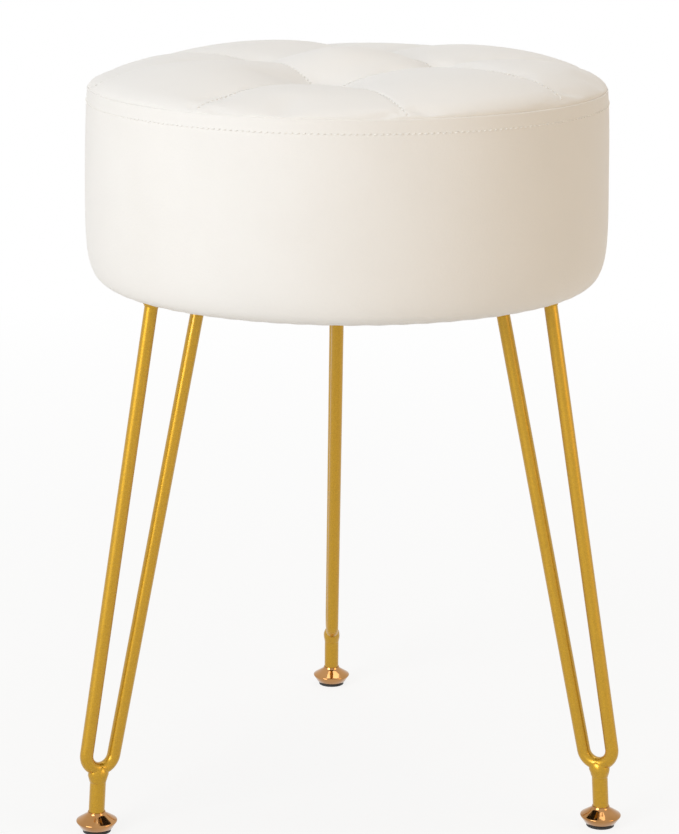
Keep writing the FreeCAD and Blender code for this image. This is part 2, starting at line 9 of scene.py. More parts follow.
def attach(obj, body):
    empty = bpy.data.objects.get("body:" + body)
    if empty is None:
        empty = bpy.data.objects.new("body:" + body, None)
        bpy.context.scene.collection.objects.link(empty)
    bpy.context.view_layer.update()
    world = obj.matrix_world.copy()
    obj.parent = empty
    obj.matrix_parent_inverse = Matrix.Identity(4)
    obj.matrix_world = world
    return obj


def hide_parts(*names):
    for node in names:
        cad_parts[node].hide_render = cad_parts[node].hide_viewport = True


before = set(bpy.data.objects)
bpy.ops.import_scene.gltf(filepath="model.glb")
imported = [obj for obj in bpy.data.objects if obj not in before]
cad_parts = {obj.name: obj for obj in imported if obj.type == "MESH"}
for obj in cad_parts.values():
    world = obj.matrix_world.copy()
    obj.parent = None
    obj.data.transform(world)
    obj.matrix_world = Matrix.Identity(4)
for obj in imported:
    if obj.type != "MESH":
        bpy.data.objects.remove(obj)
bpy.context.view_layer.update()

# Studio: a pale floor that fades into a white backdrop, a large soft lamp on the
# left, a weaker warm one on the right and a third overhead, and the camera at the
# photographer's place, a little above the seat.
bpy.ops.object.select_all(action="DESELECT")
bpy.ops.mesh.primitive_circle_add(vertices=96, radius=6, fill_type="NGON", location=(0, 0, 0))
floor = bpy.context.object
floor.name = "studio_floor"


def set_sockets(made, values):
    """Sets the named inputs of a shader node; an underscore stands for a space."""
    for name, value in values.items():
        made.inputs[name.replace("_", " ")].default_value = value
    return made


def node(tree, kind, place, **inputs):
    """A shader node of this kind, with its named inputs set."""
    made = tree.nodes.new(kind)
    made.location = place
    return set_sockets(made, inputs)


def wire(tree, *wires):
    """Joins shader nodes; each wire is (from node, its output, to node, its input)."""
    for source, output, target, socket in wires:
        tree.links.new(source.outputs[output], target.inputs[socket])


def new_material(name, **inputs):
    """A material, its node tree and its shader, with the shader's named inputs set."""
    material = bpy.data.materials.new(name)
    material.use_nodes = True
    tree = material.node_tree
    return material, tree, set_sockets(tree.nodes["Principled BSDF"], inputs)


def seen_or_mirrored(tree, place):
    """The output that is 1 for rays from the camera and for rays mirrored or passed
    on by the object."""
    path = node(tree, "ShaderNodeLightPath", place)
    most = (path, "Is Camera Ray")
    for i, kind in enumerate(("Is Glossy Ray", "Is Transmission Ray")):
        larger = node(tree, "ShaderNodeMath", (place[0] + 180 * (i + 1), place[1]))
        larger.operation = "MAXIMUM"
        wire(tree, (*most, larger, 0), (path, kind, larger, 1))
        most = (larger, 0)
    return most


paper, tree, shader = new_material(
    "studio_paper", Base_Color=(0.82, 0.815, 0.80, 1), Roughness=0.9, Specular_IOR_Level=0.1
)
white = node(tree, "ShaderNodeEmission", (0, 300), Color=(1, 1, 1, 1), Strength=1.0)
mix = node(tree, "ShaderNodeMixShader", (500, 100))
where = node(tree, "ShaderNodeTexCoord", (-900, 300))
length = node(tree, "ShaderNodeVectorMath", (-700, 300))
length.operation = "LENGTH"
fade = node(
    tree, "ShaderNodeMapRange", (-500, 300), From_Min=0.25, From_Max=1.5, To_Min=0.86, To_Max=1.0
)
share = node(tree, "ShaderNodeMath", (200, 300))
share.operation = "MULTIPLY"
wire(
    tree,
    (where, "Object", length, 0),
    (length, "Value", fade, "Value"),
    (fade, "Result", share, 0),
    (*seen_or_mirrored(tree, (-700, 600)), share, 1),
    (share, 0, mix, 0),
    (shader, 0, mix, 1),
    (white, 0, mix, 2),
    (mix, 0, tree.nodes["Material Output"], "Surface"),
)
floor.data.materials.append(paper)

world = bpy.context.scene.world or bpy.data.worlds.new("studio_air")
bpy.context.scene.world = world
world.use_nodes = True
tree = world.node_tree
tree.nodes.clear()
soft_air = node(tree, "ShaderNodeBackground", (0, 0), Color=(1.0, 0.965, 0.915, 1), Strength=0.36)
white_air = node(tree, "ShaderNodeBackground", (0, -200), Color=(1, 1, 1, 1), Strength=1.0)
mix = node(tree, "ShaderNodeMixShader", (300, 0))
out = node(tree, "ShaderNodeOutputWorld", (500, 0))
wire(
    tree,
    (*seen_or_mirrored(tree, (-500, 200)), mix, 0),
    (soft_air, 0, mix, 1),
    (white_air, 0, mix, 2),
    (mix, 0, out, 0),
)


def soft_lamp(name, place, size, watts, colour):
    """A square soft lamp turned towards the middle of the stool."""
    bpy.ops.object.light_add(type="AREA", location=place)
    lamp = bpy.context.object
    lamp.name = name
    lamp.data.size = size
    lamp.data.energy = watts
    lamp.data.color = colour
    towards = Vector((0, 0, 0.3)) - lamp.location
    lamp.rotation_euler = towards.to_track_quat("-Z", "Y").to_euler()


soft_lamp("window_left", (-1.7, -1.6, 1.15), 1.3, 35, (1, 1, 1))
soft_lamp("warm_right", (1.7, -1.0, 0.8), 0.8, 8.4, (1.0, 0.68, 0.33))
soft_lamp("overhead", (0.2, 0.6, 2.2), 1.4, 12, (1, 1, 1))

# Fitted to the photo's legs, feet and seat; the place is in metres.
CAMERA_PLACE = (-0.07939, -1.64665, 0.63687)
CAMERA_TURN = [math.radians(a) for a in (76.225, -0.3494, -2.5505)]
bpy.ops.object.camera_add(location=CAMERA_PLACE, rotation=CAMERA_TURN)
camera = bpy.context.object
camera.data.lens = 119.695
camera.data.sensor_width = 36
camera.data.clip_start = 0.05
bpy.context.scene.camera = camera
bpy.context.scene.view_settings.view_transform = "Standard"

# Quilted top of the seat: nine panels of leatherette over wadding, sewn to each
# other and drawn down at four tufts. A short cloth simulation fills the panels
# out between their seams, which are creased after it. Sizes are in millimetres.
MM = 0.001
RIM_RADIUS, RIM_HEIGHT = 153.7, 436.0
# Each tuft: its radius, azimuth and height, and how deep and wide its dimple is.
TUFTS = (
    (57.0, -106.2, 443.2, 5.2, 13.0),
    (55.0, -17.0, 449.0, 4.5, 8.5),
    (55.0, 73.0, 448.0, 5.0, 8.0),
    (55.0, 163.0, 447.6, 4.0, 8.0),
)
# The two seams from each tuft to the rim: the azimuth where they end, and their
# heights at these shares of the way there.
OUTWARD_SHARES = (0.2, 0.4, 0.6, 0.8, 0.9)
OUTWARD_SEAMS = (
    ((-126.0, 443.2, 445.9, 445.2, 442.2, 440.6), (-80.3, 442.8, 445.2, 446.2, 443.8, 441.4)),
    ((-40.3, 449.6, 450.3, 449.6, 447.1, 444.2), (9.5, 449.3, 449.8, 449.0, 446.0, 443.0)),
    ((52.0, 448.4, 448.8, 447.8, 445.0, 442.6), (99.7, 448.2, 448.4, 447.4, 444.6, 442.2)),
    ((142.0, 448.4, 448.8, 447.8, 444.6, 442.2), (190.7, 448.5, 449.3, 449.0, 445.3, 442.2)),
)
# The seam from each tuft to the next one round, at these shares of the way.
INNER_SHARES = (0.2, 0.4, 0.6, 0.8)
INNER_SEAMS = (
    (443.6, 446.2, 447.8, 448.8),
    (449.8, 450.2, 450.2, 449.4),
    (448.8, 449.6, 449.6, 448.6),
    (448.8, 449.8, 447.4, 443.0),
)
# How far a panel's crown stands above its seams, at these shares of the way out;
# then each corner and side panel's share of that rise, and the middle's own rise.
CROWN_SHARES = (0.0, 0.15, 0.3, 0.5, 0.7, 0.9, 1.0)
CROWN_RISES = (0.0, 3.2, 4.8, 5.4, 4.6, 3.0, 2.2)
CORNER_FULLNESS = (0.25, 0.7, 0.2, 0.2)
SIDE_FULLNESS = (0.8, 0.95, 1.0, 1.0)
MIDDLE_RISE = 8.5
# The share of those rises that is there before the simulation fills the panels.
FILLED_BEFORE = 0.8
SEAM_SINK = 0.25
EDGE_ROUND_FROM = 0.9
ACROSS, ALONG, ROUND_THE_EDGE = 26, 32, 8
# Points that round to the same twentieth are one point, so panels share their seams.
MERGE_STEPS = 20
# The hidden underside of the top: radius and height of its rings.
TUCKED_IN = ((152.4, 434.4), (151.0, 431.5), (148, 430.2), (120, 430), (70, 430), (20, 430))


def flowing(x, knots, values):
    """Smooth curve through the knots, as a bent spline runs through pins."""
    knots, values = np.asarray(knots, float), np.asarray(values, float)
    slopes = np.gradient(values, knots)
    i = np.clip(np.searchsorted(knots, x) - 1, 0, len(knots) - 2)
    width = knots[i + 1] - knots[i]
    t = (x - knots[i]) / width
    return (
        (2 * t**3 - 3 * t**2 + 1) * values[i]
        + (t**3 - 2 * t**2 + t) * width * slopes[i]
        + (3 * t**2 - 2 * t**3) * values[i + 1]
        + (t**3 - t**2) * width * slopes[i + 1]
    )


def polar(radius, azimuth):
    return np.array([radius * math.cos(azimuth), radius * math.sin(azimuth)])


def arched(t, power=2.2):
    """0 at both seams of a panel and 1 at its crown."""
    return 1 - abs(2 * t - 1) ** power


# Grid lines of a panel, as shares of its width and length. They crowd towards the
# seams and the edge, where the panel turns most.
evenly = np.linspace(0, 1, ACROSS + 1)
across = evenly - 0.8 * np.sin(2 * np.pi * evenly) / (2 * np.pi)
quarter_turn = np.linspace(0, np.pi / 2, ROUND_THE_EDGE + 1)[1:]
along = np.concatenate([
    EDGE_ROUND_FROM * np.linspace(0, 1, ALONG - ROUND_THE_EDGE + 1) ** 1.15,
    EDGE_ROUND_FROM + (1 - EDGE_ROUND_FROM) * np.sin(quarter_turn),
])
tuft_places = [polar(radius, math.radians(azimuth)) for radius, azimuth, *_ in TUFTS]
tuft_heights = [height for _, _, height, _, _ in TUFTS]
outward_heights = []
for tuft_height, pair in zip(tuft_heights, OUTWARD_SEAMS):
    for _, *heights in pair:
        end = 2 * heights[-1] - heights[-2]
        knots = (0, *OUTWARD_SHARES, 1)
        outward_heights.append(flowing(along, knots, (tuft_height, *heights, end)))
inner_heights = []
for k, heights in enumerate(INNER_SEAMS):
    ends = tuft_heights[k], tuft_heights[(k + 1) % 4]
    knots = (0, *INNER_SHARES, 1)
    inner_heights.append(flowing(across, knots, (ends[0], *heights, ends[1])))
rises = flowing(along, CROWN_SHARES, CROWN_RISES) * FILLED_BEFORE
round_share = np.clip((along - EDGE_ROUND_FROM) / (1 - EDGE_ROUND_FROM), 0, 1)
edge_round = np.sqrt(1 - round_share**2)

points, faces, found, sewn = [], [], {}, set()


def vertex(x, y, z, is_sewn):
    """The number of the point at (x, y, z), shared with the panels that meet there."""
    for (u, v), (_, _, _, depth, width) in zip(tuft_places, TUFTS):
        z -= depth * math.exp(-((x - u) ** 2 + (y - v) ** 2) / width**2)
    key = (round(x * MERGE_STEPS), round(y * MERGE_STEPS))
    for near in ((0, 0), (1, 0), (-1, 0), (0, 1), (0, -1)):
        nearby = (key[0] + near[0], key[1] + near[1])
        if nearby in found:
            if is_sewn:
                sewn.add(found[nearby])
            return found[nearby]
    found[key] = len(points)
    points.append((x, y, z - SEAM_SINK * is_sewn))
    if is_sewn:
        sewn.add(found[key])
    return found[key]


def panel(grid, held):
    """Quads over a grid of (x, y, z); held says which of its points are sewn down."""
    ids = [
        [vertex(*point, is_sewn) for point, is_sewn in zip(row, row_held)]
        for row, row_held in zip(grid, held)
    ]
    for here, beyond in zip(ids, ids[1:]):
        for j in range(len(here) - 1):
            corners = list(dict.fromkeys([here[j], beyond[j], beyond[j + 1], here[j + 1]]))
            if len(corners) > 2:
                faces.append(corners)
    return ids


# A corner panel spreads from one tuft to the rim between that tuft's two seams. A
# side panel lies between two tufts, with the seam that joins them as its inner end.
rim_ring = []
for k in range(4):
    following = (k + 1) % 4
    corner = (k, k, 2 * k, 2 * k + 1, None, CORNER_FULLNESS[k])
    side = (k, following, 2 * k + 1, 2 * following, inner_heights[k], SIDE_FULLNESS[k])
    for from_tuft, to_tuft, left_seam, right_seam, inner, fullness in (corner, side):
        left_end, right_end = (
            polar(RIM_RADIUS, math.radians(OUTWARD_SEAMS[s // 2][s % 2][0]))
            for s in (left_seam, right_seam)
        )
        grid, held = [], []
        for i, r in enumerate(along):
            left = tuft_places[from_tuft] * (1 - r) + left_end * r
            right = tuft_places[to_tuft] * (1 - r) + right_end * r
            first = math.atan2(left[1], left[0])
            sweep = (math.atan2(right[1], right[0]) - first) % (2 * math.pi)
            roundness = r**2 * (3 - 2 * r)
            row = []
            for j, t in enumerate(across):
                straight = left * (1 - t) + right * t
                away = np.hypot(*left) * (1 - t) + np.hypot(*right) * t
                x, y = straight + (polar(away, first + sweep * t) - straight) * roundness
                height = outward_heights[left_seam][i] * (1 - t)
                height += outward_heights[right_seam][i] * t
                if inner is not None:
                    height += (inner[j] - inner[0] * (1 - t) - inner[-1] * t) * (1 - r) ** 3
                height += rises[i] * arched(t) * fullness
                row.append((x, y, RIM_HEIGHT + (height - RIM_HEIGHT) * edge_round[i]))
            grid.append(row)
            ends_here = i == ALONG or (inner is not None and i == 0)
            held.append([j in (0, ACROSS) or ends_here for j in range(ACROSS + 1)])
        rim_ring += panel(grid, held)[-1][:-1]

# The square panel between the tufts. Its four sides run along the inner seams.
grid, held = [], []
low, right, high, left = inner_heights
for i, s in enumerate(across):
    row = []
    for j, t in enumerate(across):
        x, y = (
            (tuft_places[0] * (1 - s) + tuft_places[1] * s) * (1 - t)
            + (tuft_places[3] * (1 - s) + tuft_places[2] * s) * t
        )
        sides = low[i] * (1 - t) + high[::-1][i] * t + left[::-1][j] * (1 - s) + right[j] * s
        corners = (tuft_heights[0] * (1 - s) + tuft_heights[1] * s) * (1 - t)
        corners += (tuft_heights[3] * (1 - s) + tuft_heights[2] * s) * t
        lift = MIDDLE_RISE * FILLED_BEFORE * arched(s) * arched(t)
        row.append((x, y, sides - corners + lift))
    grid.append(row)
    held.append([i in (0, ACROSS) or j in (0, ACROSS) for j in range(ACROSS + 1)])
panel(grid, held)
seams = sewn - set(rim_ring)
pinned = list(sewn)
last_ring = rim_ring
for radius, height in TUCKED_IN:
    ring = []
    for index in rim_ring:
        ring.append(len(points))
        points.append((*polar(radius, math.atan2(points[index][1], points[index][0])), height))
    for a in range(len(ring)):
        b = (a + 1) % len(ring)
        faces.append([last_ring[a], ring[a], ring[b], last_ring[b]])
    last_ring = ring
    pinned += ring
faces.append(last_ring)


def only(*pieces):
    """Selects these pieces and no others; the first becomes the active one."""
    bpy.ops.object.select_all(action="DESELECT")
    for piece in pieces:
        piece.select_set(True)
    bpy.context.view_layer.objects.active = pieces[0]


def from_points(name, points, faces):
    """A piece from points in millimetres and faces, which are turned outwards."""
    mesh = bpy.data.meshes.new(name)
    mesh.from_pydata([Vector(p) * MM for p in points], [], faces)
    mesh.validate()
    piece = bpy.data.objects.new(name, mesh)
    bpy.context.collection.objects.link(piece)
    only(piece)
    bpy.ops.object.mode_set(mode="EDIT")
    bpy.ops.mesh.select_all(action="SELECT")
    bpy.ops.mesh.normals_make_consistent(inside=False)
    bpy.ops.object.mode_set(mode="OBJECT")
    return piece


def inflate(pad, held, pressure, frames, most, stretch=0.0):
    """Cloth simulation that fills a padded cover out. The held points stay where they
    are, and no other point moves by more than most, in metres."""
    before = np.array([v.co for v in pad.data.vertices])
    pad.vertex_groups.new(name="held").add(held, 1.0, "REPLACE")
    bpy.context.view_layer.objects.active = pad
    bpy.context.scene.frame_set(1)
    cloth = pad.modifiers.new("cloth", "CLOTH")
    cloth.point_cache.frame_end = frames
    cloth.settings.quality = 8
    cloth.settings.mass = 0.15
    cloth.settings.effector_weights.gravity = 0
    cloth.settings.use_pressure = True
    cloth.settings.uniform_pressure_force = pressure
    cloth.settings.tension_stiffness = 25
    cloth.settings.compression_stiffness = 12
    cloth.settings.shear_stiffness = 8
    cloth.settings.bending_stiffness = 2.0
    cloth.settings.shrink_min = -stretch
    cloth.settings.vertex_group_mass = "held"
    cloth.collision_settings.use_collision = False
    for step in range(1, frames + 1):
        bpy.context.scene.frame_set(step)
    bpy.ops.object.modifier_apply(modifier="cloth")
    bpy.context.scene.frame_set(1)
    moved = np.array([v.co for v in pad.data.vertices]) - before
    distance = np.linalg.norm(moved, axis=1)
    moved *= np.minimum(1, most / np.maximum(distance, 1e-9))[:, None]
    pad.data.vertices.foreach_set("co", (before + moved).ravel())
    pad.data.update()


quilt = from_points("quilted_cover", points, faces)
inflate(quilt, pinned, pressure=2.0, frames=20, most=0.004, stretch=0.004)


def smoothed(piece, creased=()):
    """Subdivides a piece for good; edges between creased points stay sharp."""
    only(piece)
    if creased:
        layer = piece.data.attributes.new("crease_edge", "FLOAT", "EDGE")
        for edge in piece.data.edges:
            if edge.vertices[0] in creased and edge.vertices[1] in creased:
                layer.data[edge.index].value = 0.8
    subdivision = piece.modifiers.new("finer", "SUBSURF")
    subdivision.levels = subdivision.render_levels = 1
    bpy.ops.object.modifier_apply(modifier="finer")
    bpy.ops.object.shade_smooth()


def two_tones(tree, place, first, second, start=0.0, end=1.0):
    """A ramp from the first colour at start to the second at end."""
    tone = node(tree, "ShaderNodeValToRGB", place)
    for i, (position, colour) in enumerate(((start, first), (end, second))):
        tone.color_ramp.elements[i].position = position
        tone.color_ramp.elements[i].color = (*colour, 1)
    return tone


# Leatherette: pale coated cloth with a fine pebble grain and a slightly uneven tone.
off_white, tree, shader = new_material(
    "leatherette_off_white", Specular_IOR_Level=0.42, Sheen_Weight=0.06, Sheen_Roughness=0.5
)
where = node(tree, "ShaderNodeTexCoord", (-1400, 0))
cloud = node(tree, "ShaderNodeTexNoise", (-1100, 300), Scale=14, Detail=3, Roughness=0.55)
tone = two_tones(tree, (-700, 300), (0.84, 0.828, 0.805), (0.86, 0.85, 0.83), 0.35, 0.65)
pebble = node(tree, "ShaderNodeTexVoronoi", (-1100, 0), Scale=820, Randomness=1)
pebble.feature = "SMOOTH_F1"
pores = node(tree, "ShaderNodeTexNoise", (-1100, -300), Scale=1900, Detail=2)
rough = node(
    tree, "ShaderNodeMapRange", (-500, -50), From_Min=0.3, From_Max=0.7, To_Min=0.5, To_Max=0.62
)
grain = node(tree, "ShaderNodeBump", (-500, -250), Strength=0.5, Distance=0.00012)
fine = node(tree, "ShaderNodeBump", (-250, -300), Strength=0.35, Distance=0.00005)
wire(
    tree,
    (where, "Object", cloud, "Vector"),
    (where, "Object", pebble, "Vector"),
    (where, "Object", pores, "Vector"),
    (cloud, "Fac", tone, "Fac"),
    (tone, "Color", shader, "Base Color"),
    (cloud, "Fac", rough, "Value"),
    (rough, "Result", shader, "Roughness"),
    (pebble, "Distance", grain, "Height"),
    (pores, "Fac", fine, "Height"),
    (grain, "Normal", fine, "Normal"),
    (fine, "Normal", shader, "Normal"),
)
smoothed(quilt, seams)
quilt.data.materials.append(off_white)
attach(quilt, "stool")
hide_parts("quilted_top")

# Stitches of the quilting: short pale threads of twisted polyester that lie in each
# seam between two panels, a little over three millimetres apart.
STITCH_SPACING, STITCH_LENGTH, STITCH_THICKNESS, STITCH_PROUD = 3.4, 2.4, 0.9, 0.3
bpy.ops.object.select_all(action="DESELECT")
bpy.ops.mesh.primitive_uv_sphere_add(segments=6, ring_count=5, radius=1)
one_stitch = bpy.context.object


def on_top(x, y):
    """The point of the quilted top at (x, y), given in millimetres, and its normal."""
    above = Vector((x * MM, y * MM, 0.6))
    _, point, outward, _ = quilt.ray_cast(above, Vector((0, 0, -1)))
    return point, outward


def sewn_row(name, places, length, thickness, thread):
    """One mesh of stitches; each place is (point, direction along the row, outward)."""
    threads = bmesh.new()
    for point, direction, outward in places:
        side = outward.cross(direction).normalized()
        forward = side.cross(outward).normalized()
        turn = Matrix((forward, side, outward.normalized())).transposed().to_4x4()
        size = Matrix.Diagonal((length / 2 * MM, thickness / 2 * MM, thickness / 2 * MM, 1))
        copy = one_stitch.data.copy()
        copy.transform(Matrix.Translation(point) @ turn @ size)
        threads.from_mesh(copy)
        bpy.data.meshes.remove(copy)
    mesh = bpy.data.meshes.new(name)
    threads.to_mesh(mesh)
    threads.free()
    row = bpy.data.objects.new(name, mesh)
    bpy.context.collection.objects.link(row)
    mesh.shade_smooth()
    mesh.materials.append(thread)
    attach(row, "stool")


thread, tree, shader = new_material("polyester_thread", Roughness=0.6, Sheen_Weight=0.2)
where = node(tree, "ShaderNodeTexCoord", (-900, 0))
twist = node(tree, "ShaderNodeTexWave", (-700, 0), Scale=1500, Distortion=1.0)
twist.bands_direction = "DIAGONAL"
tone = two_tones(tree, (-400, 100), (0.84, 0.83, 0.80), (0.94, 0.93, 0.90))
relief = node(tree, "ShaderNodeBump", (-300, -200), Strength=0.4, Distance=0.00008)
wire(
    tree,
    (where, "Object", twist, "Vector"),
    (twist, "Fac", tone, "Fac"),
    (tone, "Color", shader, "Base Color"),
    (twist, "Fac", relief, "Height"),
    (relief, "Normal", shader, "Normal"),
)

# Each seam line: where it starts and ends, and the shares between which it is sewn.
seam_lines = []
for k, place in enumerate(tuft_places):
    for end_azimuth, *_ in OUTWARD_SEAMS[k]:
        seam_lines.append((place, polar(RIM_RADIUS, math.radians(end_azimuth)), 0.05, 0.985))
    seam_lines.append((place, tuft_places[(k + 1) % 4], 0.06, 0.94))
places = []
for first, last, low, high in seam_lines:
    count = int(np.linalg.norm(last - first) * (high - low) / STITCH_SPACING)
    for i in range(count):
        share = low + (high - low) * (i + 0.5) / count
        point, outward = on_top(*(first + (last - first) * share))
        direction = Vector((*(last - first), 0)).normalized()
        direction -= outward * direction.dot(outward)
        places.append((point + outward * STITCH_PROUD * MM, direction, outward))
sewn_row("quilting_stitches", places, STITCH_LENGTH, STITCH_THICKNESS, thread)

# Side band: one strip of leatherette stretched round the foam, sewn to the top
# along the rim, joined by an upright seam behind, and folded under the seat.
BAND_OUTLINE = (
    (152.4, 434.8), (153.2, 435.8), (153.8, 436.1), (154.25, 435.9), (154.45, 435.4),
    (154.5, 434.8), (154.55, 433.5), (154.75, 431.0), (155.05, 427.0), (155.8, 416.0),
    (156.6, 400.0), (157.1, 381.0), (157.2, 365.0), (156.9, 350.0), (155.8, 338.0),
    (153.8, 330.0), (150.8, 324.2), (146.2, 320.7), (141.0, 319.75), (132.0, 320.0),
    (116.0, 320.2),
)
BAND_INSIDE = ((115, 321.1), (138, 321.2), (150.0, 326), (154.4, 343), (154.9, 390), (151.0, 430))
# The side runs between these heights. At mid height it is drawn in, and it waves.
SIDE_LOW, SIDE_HIGH, DRAWN_IN, WAVE = 330, 426, 0.7, 0.35
# The upright join is a groove between two low ridges, and ends under the rim.
JOIN_AZIMUTH, JOIN_TOP = 90.0, 434
GROOVE_DEPTH, GROOVE_WIDTH = 0.55, 0.6
RIDGE_HEIGHT, RIDGE_WIDTH, RIDGE_AWAY = 0.3, 0.9, 1.6
# The cloth gathers under the seat, more and more over some millimetres inwards.
GATHERS, GATHER_DEPTH, GATHERED_WITHIN, GATHER_GROWS_OVER = 64, 0.22, 150.0, 6
# Only this stretch of the outline, measured along it, is free in the simulation.
FREE_FROM, FREE_TO = 14, 135


def limited(x):
    """x, kept between 0 and 1."""
    return min(1, max(0, x))


lengths = np.cumsum([0] + [math.dist(a, b) for a, b in zip(BAND_OUTLINE, BAND_OUTLINE[1:])])
steps = np.concatenate([
    np.arange(0, 6.0, 0.5), np.arange(6, 16, 1.0), np.linspace(16, 100, 20),
    np.linspace(103, 135, 16), np.linspace(138, lengths[-1], 9),
])
band_radius, band_height = (flowing(steps, lengths, column) for column in zip(*BAND_OUTLINE))
azimuths = [360.0 * k / 240 for k in range(240)]
azimuths += [JOIN_AZIMUTH + away for away in (-0.75, -0.45, -0.3, -0.15, 0.15, 0.3, 0.45, 0.75)]
azimuths = [math.radians(a) for a in sorted(azimuths)]
points, faces = [], []
for r, z in zip(band_radius, band_height):
    for azimuth in azimuths:
        uneven = noise.noise(Vector((math.cos(azimuth) * 3, math.sin(azimuth) * 3, z * 0.02)))
        middle = math.sin(math.pi * limited((z - SIDE_LOW) / (SIDE_HIGH - SIDE_LOW)))
        out_by = (WAVE * uneven - DRAWN_IN) * middle
        off_join = (azimuth - math.radians(JOIN_AZIMUTH)) * r
        if z < JOIN_TOP:
            ridge = math.exp(-(((abs(off_join) - RIDGE_AWAY) / RIDGE_WIDTH) ** 2))
            groove = math.exp(-((off_join / GROOVE_WIDTH) ** 2))
            out_by += RIDGE_HEIGHT * ridge - GROOVE_DEPTH * groove
        gather = 0
        if z < SIDE_LOW:
            grown = limited((GATHERED_WITHIN - r) / GATHER_GROWS_OVER)
            gather = GATHER_DEPTH * math.sin(GATHERS * azimuth + 3 * uneven) * grown
        points.append((*polar(r + out_by, azimuth), z + gather))
for r, z in BAND_INSIDE:
    points += [(*polar(r, azimuth), z) for azimuth in azimuths]
columns, rows = len(azimuths), len(steps)
total = rows + len(BAND_INSIDE)
for row in range(total):
    for k in range(columns):
        a, b = row * columns, ((row + 1) % total) * columns
        right = (k + 1) % columns
        faces.append([a + k, b + k, b + right, a + right])
band = from_points("side_band", points, faces)
free_rows = [r for r in range(rows) if FREE_FROM <= steps[r] <= FREE_TO]
held = [r * columns + k for r in range(total) if r not in free_rows for k in range(columns)]
inflate(band, held, pressure=2.0, frames=12, most=0.003)
smoothed(band)
band.data.materials.append(off_white)
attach(band, "stool")
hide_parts("side_cover")

# Topstitching eight millimetres under the rim: it holds the seam's turned edge
# down against the band, each stitch slanting a little.
STITCHES_ROUND, TOPSTITCH_HEIGHT, TOPSTITCH_SLANT = 275, 428, 0.28
TOPSTITCH_LENGTH, TOPSTITCH_THICKNESS, TOPSTITCH_PROUD = 2.7, 0.8, 0.12
places = []
for k in range(STITCHES_ROUND):
    azimuth = 2 * math.pi * (k + 0.5) / STITCHES_ROUND
    outside = Vector((*polar(200, azimuth), TOPSTITCH_HEIGHT)) * MM
    inwards = Vector((-outside.x, -outside.y, 0)).normalized()
    _, point, outward, _ = band.ray_cast(outside, inwards)
    along_row = Vector((-math.sin(azimuth), math.cos(azimuth), TOPSTITCH_SLANT))
    places.append((point + outward * TOPSTITCH_PROUD * MM, along_row, outward))
sewn_row("rim_topstitching", places, TOPSTITCH_LENGTH, TOPSTITCH_THICKNESS, thread)
bpy.data.objects.remove(one_stitch)

# Foam drum inside the cover: one moulded block with a recess for the board and a
# drilled channel for each tuft's cord. It is glued to the board.
FOAM_OUTLINE = (
    (0, 336.6), (139.7, 336.6), (139.7, 321.8), (146.0, 322.6), (149.2, 327.0), (151.8, 334.0),
    (153.4, 345.0), (153.9, 366.0), (153.7, 390.0), (152.0, 415.0), (150.2, 428.6), (148.0, 429.7),
    (0, 429.7),
)
CHANNEL_RADIUS, CHANNEL_LENGTH, CHANNEL_MIDDLE = 1.6, 120, 380


def drawn_line(name, outline, x=0.0):
    """A line through the (x, z) points of an outline, at y = 0. It stays in edit mode."""
    bpy.ops.object.select_all(action="DESELECT")
    bpy.ops.mesh.primitive_plane_add(size=0.001, location=(0, 0, 0))
    piece = bpy.context.object
    piece.name = name
    bpy.ops.object.mode_set(mode="EDIT")
    bpy.ops.mesh.select_all(action="SELECT")
    bpy.ops.mesh.merge(type="CENTER")
    bpy.ops.transform.translate(value=((x + outline[0][0]) * MM, 0, outline[0][1] * MM))
    for (x0, z0), (x1, z1) in zip(outline, outline[1:]):
        step = ((x1 - x0) * MM, 0, (z1 - z0) * MM)
        bpy.ops.mesh.extrude_region_move(TRANSFORM_OT_translate={"value": step})
    return piece


def lathed(name, outline, steps, x=0.0):
    """A round piece: an outline of (radius, z) spun about an upright axis at x."""
    piece = drawn_line(name, outline, x)
    bpy.ops.mesh.select_all(action="SELECT")
    bpy.ops.mesh.spin(steps=steps, angle=2 * math.pi, center=(x * MM, 0, 0), axis=(0, 0, 1))
    bpy.ops.mesh.select_all(action="SELECT")
    bpy.ops.mesh.remove_doubles(threshold=0.000005)
    bpy.ops.mesh.normals_make_consistent(inside=False)
    bpy.ops.object.mode_set(mode="OBJECT")
    bpy.ops.object.shade_smooth_by_angle(angle=math.radians(40))
    return piece


def speckled(name, dark, light, scale, rough, relief, metallic=0.0):
    """A material whose tone, roughness and relief vary with a fine noise."""
    material, tree, shader = new_material(name, Metallic=metallic)
    where = node(tree, "ShaderNodeTexCoord", (-1100, 0))
    grains = node(tree, "ShaderNodeTexNoise", (-900, 0), Scale=scale, Detail=4, Roughness=0.6)
    tone = two_tones(tree, (-500, 200), dark, light, 0.35, 0.65)
    gloss = node(
        tree, "ShaderNodeMapRange", (-500, -50),
        From_Min=0.3, From_Max=0.7, To_Min=rough[0], To_Max=rough[1],
    )
    bumps = node(tree, "ShaderNodeBump", (-400, -300), Strength=0.6, Distance=relief)
    wire(
        tree,
        (where, "Object", grains, "Vector"),
        (grains, "Fac", tone, "Fac"),
        (grains, "Fac", gloss, "Value"),
        (grains, "Fac", bumps, "Height"),
        (tone, "Color", shader, "Base Color"),
        (gloss, "Result", shader, "Roughness"),
        (bumps, "Normal", shader, "Normal"),
    )
    return material


